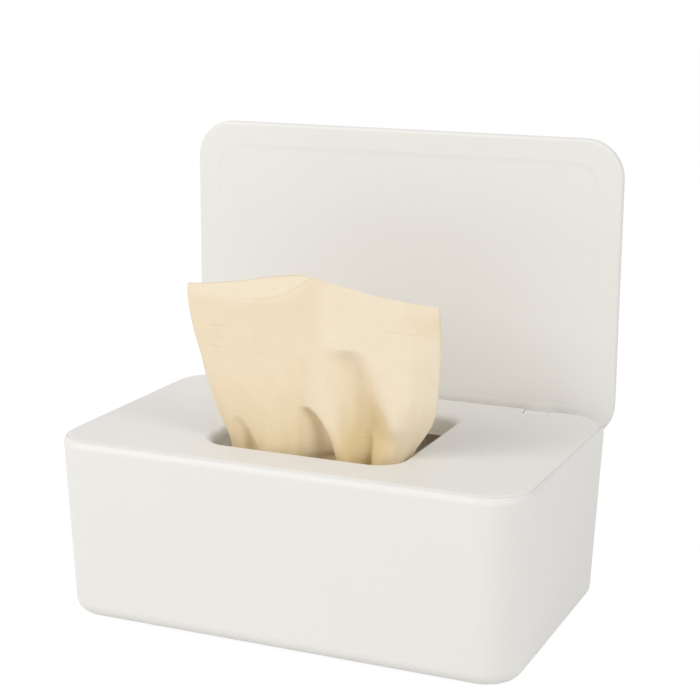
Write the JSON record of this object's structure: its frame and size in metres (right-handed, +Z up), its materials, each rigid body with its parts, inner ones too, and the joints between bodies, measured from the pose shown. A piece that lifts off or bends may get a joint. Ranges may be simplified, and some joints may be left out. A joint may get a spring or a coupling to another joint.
{
  "type": "countertop wipes dispenser",
  "caption": "Countertop box that keeps a stack of soft folded wipes and gives them one at a time through the mouth of a lift-off frame, under a hinged lid.",
  "frame": {"origin": "centre of the base, on the surface that the box stands on", "axes": "+X to the right along the box, +Y to the back where the lid is hinged, +Z up"},
  "size_m": [0.1866, 0.1262, 0.1799],
  "materials": {
    "white_plastic": "satin",
    "pin_steel": "brushed",
    "ring_rubber": "matt",
    "wipe_cloth": "unbleached"
  },
  "bodies": {
    "tub": {"tub": "white_plastic", "non_slip_ring": "ring_rubber", "folded_wipe_01": "wipe_cloth", "folded_wipe_02": "wipe_cloth", "folded_wipe_03": "wipe_cloth", "folded_wipe_04": "wipe_cloth", "folded_wipe_05": "wipe_cloth", "folded_wipe_06": "wipe_cloth", "folded_wipe_07": "wipe_cloth", "folded_wipe_08": "wipe_cloth", "folded_wipe_09": "wipe_cloth", "folded_wipe_10": "wipe_cloth", "folded_wipe_11": "wipe_cloth", "folded_wipe_12": "wipe_cloth", "folded_wipe_13": "wipe_cloth", "folded_wipe_14": "wipe_cloth", "folded_wipe_15": "wipe_cloth", "folded_wipe_16": "wipe_cloth"},
    "frame": {"top_frame": "white_plastic", "hinge_pin_left": "pin_steel", "hinge_pin_right": "pin_steel"},
    "lid": {"lid_liner": "white_plastic", "lid_cover": "white_plastic"},
    "wipe": {"pulled_wipe": "wipe_cloth"}
  },
  "joints": [
    {"name": "frame_lift", "type": "slide", "parent": "tub", "child": "frame", "axis": [0, 0, 1], "range_m": [0, 0.08]},
    {"name": "lid_hinge", "type": "hinge", "parent": "frame", "child": "lid", "pos_m": [0, 0.0548, 0.0651], "axis": [-1, 0, 0], "range_deg": [-90, 0], "deforming": ["pulled_wipe"]},
    {"name": "wipe_pull", "type": "slide", "parent": "frame", "child": "wipe", "axis": [0, 0, 1], "range_m": [0, 0.09]}
  ]
}
